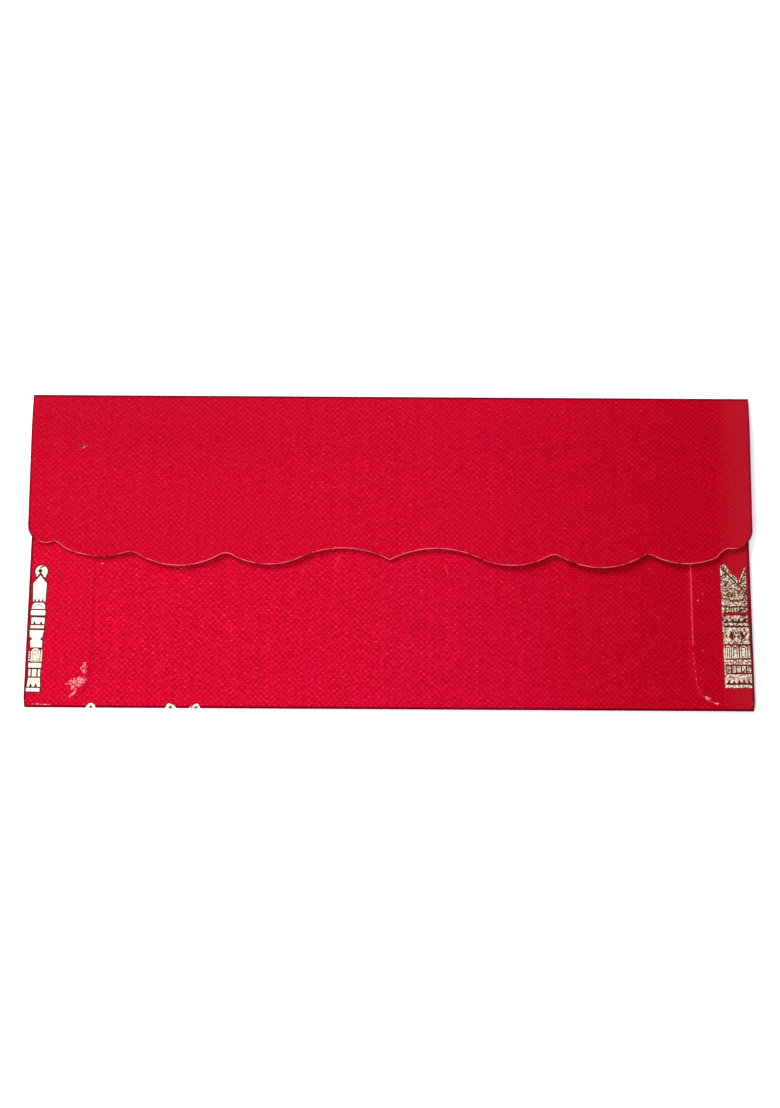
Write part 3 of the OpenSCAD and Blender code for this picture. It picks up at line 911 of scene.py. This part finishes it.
def dried_glue():
    s = Shader("dried_glue", GLUE_EDGE)
    pool = s.noise(3.0, detail=4, roughness=0.6)
    s.tint(s.between(pool, 0.35, 0.6), GLUE)
    return s.finished(pool, 0.03, Roughness=s.scaled(pool, 0.3, 0.2), Specular_IOR_Level=0.4)


def pale_floor():
    s = Shader("pale_floor", FLOOR)
    s.tint(s.noise(60.0), FLOOR_SHADE)
    grain = s.noise(1.5, detail=3)
    glow = {"Emission_Color": FLOOR, "Emission_Strength": 0.42}
    return s.finished(grain, 0.01, Roughness=0.9, Specular_IOR_Level=0.1, **glow)


RED = red_paper()
EDGE = cut_edge()
PALE = pale_board()
BRIGHT = bright_foil()
CHASED = chased_foil()
PRESSED_AND_SHADE = pressed_paper_and_shade()
PAPER_FACES = (RED, EDGE, PALE)


# Panels of the folded sheet


def keep(piece, body, slot, *nodes):
    """The piece rides on a body and stands for CAD nodes, which are hidden. The slot is not used."""
    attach(piece, body)
    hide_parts(*nodes)


def front_panel():
    inside = grid(-HALF_W, HALF_W, BOTTOM_Y, AXIS_Y, 4.0)
    piece = sheet(
        "front_panel", front_outline(), place_front, inside,
        joined=lambda x, y: y > AXIS_Y - NEAR or y < BOTTOM_Y + NEAR or abs(x) < SIDE_X + NEAR,
    )
    keep(piece, "envelope", "red_facing", "front_facing", "front_board")


def side_flap(word, side, ridge_x):
    fold_steps = 10
    inside = [
        (SIDE_ARC * i / fold_steps, y)
        for i in range(1, fold_steps + 1)
        for y in np.arange(SIDE_FOOT_Y + 1.0, SIDE_HEAD_Y - 0.5, 0.5)
    ]
    inside += grid(SIDE_ARC + 1.5, SIDE_ARC + 20.0, SIDE_FOOT_Y, SIDE_HEAD_Y, 3.0)
    piece = sheet(
        f"{word}_side_panel", side_outline(ridge_x), place_side(side), inside,
        joined=lambda x, y: x < NEAR,
    )
    nodes = [f"{word}_{part}_{layer}" for part in ("fold", "side_flap") for layer in ("facing", "board")]
    keep(piece, "envelope", "red_facing", *nodes)


def ridge_points():
    """Close rows of points along both ridges, where the back panel bends most."""
    points = []
    for line in RIDGES:
        for (ax, ay), (bx, by) in zip(line[1:], line[2:]):
            length = math.hypot(bx - ax, by - ay)
            across = abs(by - ay) / length
            down = abs(bx - ax) / length
            side = -math.copysign(1, ax)
            for k in range(max(1, round(length / RIDGE_STEP))):
                t = k * RIDGE_STEP / length
                for off in RIDGE_ROWS:
                    x = ax + (bx - ax) * t + side * across * off
                    points.append((x, ay + (by - ay) * t - BOTTOM_Y - down * off))
    return points


def back_panel():
    fold_steps = 12
    inside = [
        (x, -BOTTOM_ARC * i / fold_steps)
        for i in range(fold_steps)
        for x in np.arange(-BACK_HALF_W + 1.0, BACK_HALF_W - 0.9, 0.5)
    ]
    inside += ridge_points()
    inside += [
        p for p in grid(-BACK_HALF_W, BACK_HALF_W, 1.0, MOUTH_Y - BOTTOM_Y, 2.5)
        if ridge_distance(p[0], p[1] + BOTTOM_Y) > RIDGE_ROOM
    ]
    piece = sheet(
        "back_panel", back_outline(), place_back, inside,
        joined=lambda x, v: v < -BOTTOM_ARC + NEAR, ridges=True,
    )
    keep(
        piece, "envelope", "red_facing",
        "back_facing", "back_board", "bottom_fold_facing", "bottom_fold_board",
    )


def closing_flap():
    inside = grid(-FLAP_HALF_W, FLAP_HALF_W, FLAP_FOOT_Y, AXIS_Y, 2.2)
    piece = sheet(
        "closing_flap_panel", flap_outline(), place_flap, inside,
        joined=lambda x, y: y > AXIS_Y - NEAR,
    )
    keep(piece, "closing_flap", "red_facing", "closing_flap_facing", "closing_flap_board")


def crease():
    """The rolled crease, from the front panel's top edge round to the flap."""
    fold_steps = 8
    step = 0.3
    inside = [
        (x, BEAD_ARC * i / fold_steps)
        for i in range(1, fold_steps)
        for x in np.arange(-FLAP_HALF_W + step, FLAP_HALF_W - step / 2, step)
    ]
    outline = spaced(block(-FLAP_HALF_W, FLAP_HALF_W, 0, BEAD_ARC), step)
    piece = sheet("crease", outline, place_crease, inside, joined=lambda x, a: True, inset=NEAR)
    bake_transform(piece)
    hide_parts("crease_facing", "crease_core")


# Foil ornaments. Each is drawn upright from its foot, u across and v up, then set on its panel.


def tooth(u, v, width, height):
    """A pointed cut that rises from just below v."""
    return [(u - width / 2, v - 0.02), (u + width / 2, v - 0.02), (u, v + height)]


def arched(u, v, width, height):
    """An upright with a round top."""
    r = width / 2
    return [(u - r, v), (u + r, v)] + arc((u, v + height - r), r, 0, 180, piece=0.2)


def diamond(u, v, width, height):
    return [(u - width / 2, v), (u, v - height / 2), (u + width / 2, v), (u, v + height / 2)]


def diamonds(count, start, step, width, height):
    """A row of diamonds from start, each one step further."""
    return [diamond(start[0] + i * step[0], start[1] + i * step[1], width, height) for i in range(count)]


def half_ring(u, v, radius, thick):
    outer = arc((u, v), radius, 0, 180, piece=0.15)
    inner = arc((u, v), radius - thick, 180, 0, piece=0.15)
    return outer + inner


def widened(loop, by):
    """The outline moved outwards."""
    points = anticlockwise(spaced(loop, 0.5))
    return [tuple(p) for p in points - inward_normals(points) * by]


def settled(loop, origin, lean):
    """The loop turned by the ornament's lean and moved to its place on the flat sheet."""
    c, s = math.cos(math.radians(lean)), math.sin(math.radians(lean))
    return [(origin[0] + c * u - s * v, origin[1] + s * u + c * v) for u, v in loop]


class Ornament:
    """Collects the shapes of one ornament. Each foil shape gets a pressed plate a little wider below it,
    which also paints shade round the foil.
    """

    def __init__(self, origin, lean, foil, rise=0.0):
        self.origin = origin
        self.lean = lean
        self.foil = foil
        self.rise = rise
        self.groups = []

    def put(self, outline, number, lift, cuts=()):
        cuts = [settled(cut, self.origin, self.lean) for cut in cuts]
        self.groups.append((settled(outline, self.origin, self.lean), cuts, number, lift + self.rise))

    def add(self, outline, *cuts, margin=PRESSED_AND_SHADE_MARGIN):
        """Plates that overlap lie at slightly different heights, so that no two faces coincide."""
        layer = len(self.groups) % 4 * PLATE_LAYER
        self.put(widened(outline, margin), 1, PRESSED_AND_SHADE_LIFT + layer)
        self.put(outline, 0, FOIL_LIFT, cuts)

    def toothed(self, u0, u1, v0, v1, teeth, width, height):
        """A band with a row of pointed cuts along its foot."""
        step = (u1 - u0) / teeth
        places = [u0 + step * (i + 0.5) for i in range(teeth)]
        self.add(block(u0, u1, v0, v1), *[tooth(u, v0, width, height) for u in places])

    def inlay(self, outline, *cuts):
        """A foil shape inside a cut of another, with no plate of its own."""
        self.put(outline, 0, FOIL_LIFT, cuts)

    def piece(self, name, place, step=FOIL_STEP):
        """Makes the piece, which stands for the CAD foil of the same name."""
        piece = stamp(name, self.groups, place, (self.foil, PRESSED_AND_SHADE), step)
        keep(piece, "envelope", "gold_foil", f"{name}_foil")


def left_pillar():
    """A slim pillar with toothed, square, arched and waisted bands under a pointed cap and a bulb."""
    o = Ornament((LEFT_PILLAR_X, PILLAR_FOOT_Y - BOTTOM_Y), -PILLAR_LEAN, BRIGHT)
    o.add(block(-1.78, 1.62, 0.0, 0.88))
    o.add(
        [(-1.62, 1.2), (1.72, 1.2), (1.5, 3.45), (-1.42, 3.45)],
        tooth(-0.7, 1.2, 0.8, 1.0), tooth(0.58, 1.2, 0.8, 1.0),
    )
    for u0, u1 in ((-1.42, -0.92), (-0.56, 0.56), (0.94, 1.5)):
        o.add(block(u0, u1, 3.82, 5.62))
    o.add(block(-1.58, 1.66, 6.05, 7.25))
    for i in range(4):
        o.add(block(-1.68, -1.36, 7.75 + i * 0.66, 8.15 + i * 0.66), margin=0.12)
    o.add(arched(0, 7.62, 2.24, 3.35), arched(0, 7.8, 1.62, 2.78))
    leaf_cuts = ((-0.32, 8.1), (0.3, 8.15), (-0.02, 8.9), (-0.3, 9.2), (0.28, 9.25))
    o.inlay(arched(0, 7.9, 1.34, 2.5), *[tooth(u, v, 0.2, 0.95) for u, v in leaf_cuts])
    o.add(block(1.34, 1.66, 7.62, 10.6), margin=0.14)
    o.add([
        (-1.42, 11.2), (1.5, 11.2), (1.5, 12.85), (0.98, 13.25), (0.98, 13.5), (1.42, 13.85), (1.72, 15.6),
        (-1.85, 15.6), (-1.72, 13.9), (-1.12, 13.5), (-1.12, 13.25), (-1.5, 12.9),
    ])
    o.add(block(-1.7, 1.68, 16.1, 16.85))
    o.toothed(-1.58, 1.74, 17.2, 18.85, 2, 0.72, 0.85)
    o.add([
        (-1.86, 19.65), (-1.66, 19.45), (1.62, 19.45), (1.84, 19.65),
        (1.84, 20.55), (1.62, 20.75), (-1.66, 20.75), (-1.86, 20.55),
    ])
    cap = [(-1.72, 21.1), (1.66, 21.1), (1.6, 22.1), (1.2, 22.65), (-1.0, 22.65), (-1.55, 22.0)]
    o.add(cap, half_ring(-0.05, 21.28, 0.95, 0.15))
    shaft = [
        (-1.5, 23.0), (1.62, 23.0), (1.7, 27.7), (0.8, 28.75), (-0.02, 29.75), (-0.9, 28.65), (-1.74, 27.6),
    ]
    o.add(shaft, *[tooth(u, 23.0, 0.6, 0.9) for u in (-1.0, 0.0, 0.95)])
    bulb = arc((0.15, 30.8), 1.55, -38, 218, piece=0.3) + [
        (-1.05, 29.4), (-0.75, 29.5), (-0.6, 29.95), (-0.02, 30.55), (0.6, 29.9), (0.8, 29.4), (1.3, 29.25),
    ]
    dot = arc((-0.15, 30.95), 0.5, 0, 350, piece=0.15)
    curl = [(-0.3, 31.6), (0.05, 31.55), (0.2, 31.85), (0.85, 32.0), (0.75, 32.25), (-0.05, 32.15)]
    o.add(bulb, dot, curl)
    o.piece("left_pillar", place_back)


def right_gateway():
    """A wide gateway: a rail at its left, bands of teeth, squares, arches and blossom, and a gable."""
    right_foot = (GATEWAY_RIGHT_X, GATEWAY_FOOT_Y - BOTTOM_Y)
    o = Ornament(settled([(-GATEWAY_W, 0)], right_foot, GATEWAY_LEAN)[0], GATEWAY_LEAN, CHASED)
    rail = 0.34
    right = GATEWAY_W - 0.1
    upper_right = GATEWAY_W - 0.3
    o.add(block(0, rail, 0, 31.3), margin=0.12)
    o.add(block(rail, GATEWAY_W, 0.0, 0.72), margin=0.16)
    o.toothed(rail, GATEWAY_W, 1.22, 3.4, 5, 0.75, 0.8)
    for i in range(5):
        u = 1.02 + i * 1.29
        places = ((u - 0.14, 4.64 + 0.42), (u + 0.16, 4.64), (u - 0.14, 4.64 - 0.42))
        o.add(block(u - 0.47, u + 0.47, 3.8, 5.48), *[diamond(*p, 0.3, 0.5) for p in places], margin=0.2)
    o.add(block(rail, GATEWAY_W, 5.92, 7.12), *diamonds(8, (0.85, 6.52), (0.74, 0), 0.34, 0.62), margin=0.2)
    for u, width in ((1.15, 1.3), (2.9, 1.7), (5.0, 1.78)):
        o.add(arched(u, 7.5, width, 3.3), arched(u, 7.66, width - 0.56, 2.86), margin=0.16)
        o.inlay(arched(u, 7.66, width - 1.0, 2.5))
    o.add(block(6.2, right, 7.6, 10.6), *diamonds(4, (6.42, 8.1), (0, 0.7), 0.2, 0.4), margin=0.14)
    blossom(o, rail, right)
    bar = [(rail, 15.85), (right, 15.85), (right, 16.4), (5.4, 16.6), (3.7, 16.4), (2.0, 16.6), (rail, 16.45)]
    o.add(bar, margin=0.2)
    o.toothed(rail, upper_right, 16.95, 18.45, 4, 0.95, 0.95)
    beads = diamonds(8, (0.85, 19.92), (0.72, 0), 0.4, 0.66)
    o.add(block(rail, upper_right, 19.35, 20.5), *beads, margin=0.2)
    gable(o, rail, upper_right)
    o.piece("right_gateway", place_back)


def blossom(o, u0, u1):
    """A panel with two dark petals, a small leaf in each, and pierced leaves in its corners."""
    v0, v1 = 11.15, 15.4
    middle = ((u0 + u1) / 2, (v0 + v1) / 2)
    petals = (middle[0] - 1.15, middle[0] + 1.15)
    rows = (v0 + 0.5, v1 - 0.5)
    cuts = [diamond(u, middle[1] - 0.1, 1.9, 2.5) for u in petals]
    for u in (u0 + 0.55, u1 - 0.55):
        for v in rows:
            cuts += [diamond(u + du, v + dv, 0.3, 0.34) for du, dv in ((0, 0), (0.5, 0.16), (0.1, -0.6))]
    cuts += [diamond(middle[0], v, 0.28, 0.5) for v in rows]
    o.add(block(u0, u1, v0, v1), *cuts)
    foot_v = middle[1] - 0.7
    for side, u in zip((-1, 1), petals):
        tip = u - side * 0.25
        o.inlay([(tip - 0.2, foot_v), (tip + 0.2, foot_v), (tip - side * 0.25, middle[1] + 0.5)])


def pierced(dice, u0, u1, v0, v1, roof, share):
    """Scattered leaf-shaped cuts below a roof line, given by its points from the left."""
    step_u, step_v, stray = 0.62, 0.6, 0.08
    cuts = []
    for j in range(round((v1 - v0) / step_v)):
        for i in range(round((u1 - u0) / step_u)):
            u = u0 + (i + 0.5 * (j % 2)) * step_u + dice.uniform(-stray, stray)
            v = v0 + j * step_v + dice.uniform(-stray, stray)
            below = v < np.interp(u, *zip(*roof)) - 0.3
            if u < u1 and below and dice.random() < share:
                cuts.append(diamond(u, v, dice.uniform(0.26, 0.4), dice.uniform(0.26, 0.46)))
    return cuts


def gable(o, left, right):
    """The top of the gateway: a high left slope and a lower right one that meet in a valley."""
    dice = random.Random(7)
    valley = 4.35
    roof = [(left, 30.3), (valley, 26.2), (right, 23.4)]
    seam = [(left + 0.1, 22.75), (2.2, 22.2), (3.6, 21.15), (3.95, 21.15), (2.3, 22.5), (left + 0.1, 23.05)]
    holes = pierced(dice, 0.75, right - 0.3, 21.3, 30.5, roof, 0.85)
    holes = [hole for hole in holes if distance_to_outline(hole[1], np.array(seam)) > 0.5]
    o.add([(left, 20.9), (right, 20.9)] + roof[::-1], seam, *holes, margin=0.2)
    left_arm = [(left + 0.15, 31.0), (valley + 0.1, 26.55), (valley + 0.1, 27.6), (0.85, 32.1)]
    o.add(left_arm, *diamonds(7, (0.95, 31.15), (0.56, -0.64), 0.34, 0.42), margin=0.16)
    right_arm = [(valley + 0.4, 26.9), (right, 30.3), (right, 31.5), (valley + 0.4, 27.75)]
    o.add(right_arm, *diamonds(3, (valley + 0.85, 28.0), (0.5, 0.9), 0.34, 0.42), margin=0.16)
    side = [(right, 23.9), (right, 29.7), (valley + 0.5, 26.4)]
    slope = [(valley + 0.5, 26.4), (right, 29.3)]
    o.add(side, *pierced(dice, 5.5, right - 0.25, 25.2, 28.6, slope, 0.8), margin=0.14)


def tip_arc(left, right, peak, top, bow):
    """The line over the top of a loop, from its right leg to its left one; more bow makes it rounder."""
    steps = [i / 6 for i in range(7)]
    line = []
    for side in (right, left):
        part = [(side + (peak - side) * t, top - (1 - t) ** (1 + bow) * TIP_SHOULDER) for t in steps]
        line += part if side == right else part[-2::-1]
    return line


def bottom_tips():
    """Three slim loops that come up from the front frieze, round the bottom fold and on to the back.

    They stand prouder and have finer steps than other foil, to clear the paper round the fold.
    """
    o = Ornament((0, 0), 0, BRIGHT, rise=0.006)
    foot = -BOTTOM_ARC - TIP_LEG
    rim = 0.72
    for x, width, peak, bow in TIPS:
        left, right = x - width / 2, x + width / 2
        outline = [(left, foot), (right, foot)] + tip_arc(left, right, x + peak, TIP_RISE, bow)
        left, right = left + rim, right - rim
        hollow = tip_arc(left, right, x + peak * 0.6, TIP_RISE - 0.6, bow)
        o.add(outline, [(left, foot + 0.3), (right, foot + 0.3)] + hollow, margin=0.22)
    o.piece("bottom_tips", place_back, step=BOTTOM_ARC / 18)


def front_frieze():
    """A band of arches along the front, between two bars."""
    o = Ornament((0, 0), 0, BRIGHT)
    left, right = -FRIEZE_HALF_W, FRIEZE_HALF_W
    foot = FRIEZE_FOOT_Y
    rim = 0.7
    o.add(block(left, right, foot, foot + 0.96))
    o.add(block(left, right, foot + 7.04, foot + 8))
    step = (right - left) / FRIEZE_ARCHES
    for i in range(FRIEZE_ARCHES):
        u = left + step * (i + 0.5)
        opening = arched(u, foot + 1.6, step * 0.8 - 2 * rim, 4.8 - rim)
        o.add(arched(u, foot + 1.6, step * 0.8, 4.8), opening)
        o.inlay(diamond(u, foot + 3.6, 1.1, 2.4))
    o.piece("front_frieze", place_front)


# The whole object


def dress_glue():
    material = dried_glue()
    for name in ("left_glue_seam", "right_glue_seam"):
        for slot in bpy.data.objects[name].material_slots:
            slot.material = material


def floor():
    build = bmesh.new()
    bmesh.ops.create_grid(build, x_segments=8, y_segments=8, size=FLOOR_HALF_W * METRE)
    for vertex in build.verts:
        vertex.co.z = FLOOR_Z * METRE
    finish_mesh("floor", build, (pale_floor(),))


def camera():
    data = bpy.data.cameras.new("camera")
    data.lens = CAMERA_LENS
    data.clip_start = 0.01
    holder = linked("camera", data)
    holder.location = [c * METRE for c in CAMERA_PLACE]
    holder.rotation_euler = [math.radians(a) for a in CAMERA_TURN]
    bpy.context.scene.camera = holder


def area_light(name, place, size, power, colour, aim=(0, 0, 0)):
    """A square lamp; place, aim and size are in metres."""
    data = bpy.data.lights.new(name, "AREA")
    data.shape = "SQUARE"
    data.size = size
    data.energy = power
    data.color = colour
    lamp = linked(name, data)
    lamp.location = place
    lamp.rotation_euler = (Vector(aim) - Vector(place)).to_track_quat("-Z", "Y").to_euler()


def lighting():
    area_light("key_light", (-0.60, 0.95, 0.74), size=0.46, power=19.5, colour=(0.98, 0.98, 1.0))
    area_light(
        "overhead_light", (-0.3, 0.25, 1.5), size=1.1, power=4.2, colour=(1.0, 0.99, 0.97), aim=(-0.05, 0, 0),
    )
    area_light("front_light", (-0.42, -0.44, 0.42), size=0.5, power=3.3, colour=(0.98, 0.97, 1.0))
    world = bpy.data.worlds.new("studio")
    world.use_nodes = True
    background = world.node_tree.nodes["Background"]
    background.inputs["Color"].default_value = (0.98, 0.99, 1.0, 1)
    background.inputs["Strength"].default_value = 0.25
    bpy.context.scene.world = world
    bpy.context.scene.view_settings.view_transform = "Standard"


front_panel()
side_flap("left", -1, LEFT_RIDGE_X)
side_flap("right", 1, RIGHT_RIDGE_X)
back_panel()
closing_flap()
crease()
left_pillar()
right_gateway()
bottom_tips()
front_frieze()
dress_glue()
floor()
camera()
lighting()
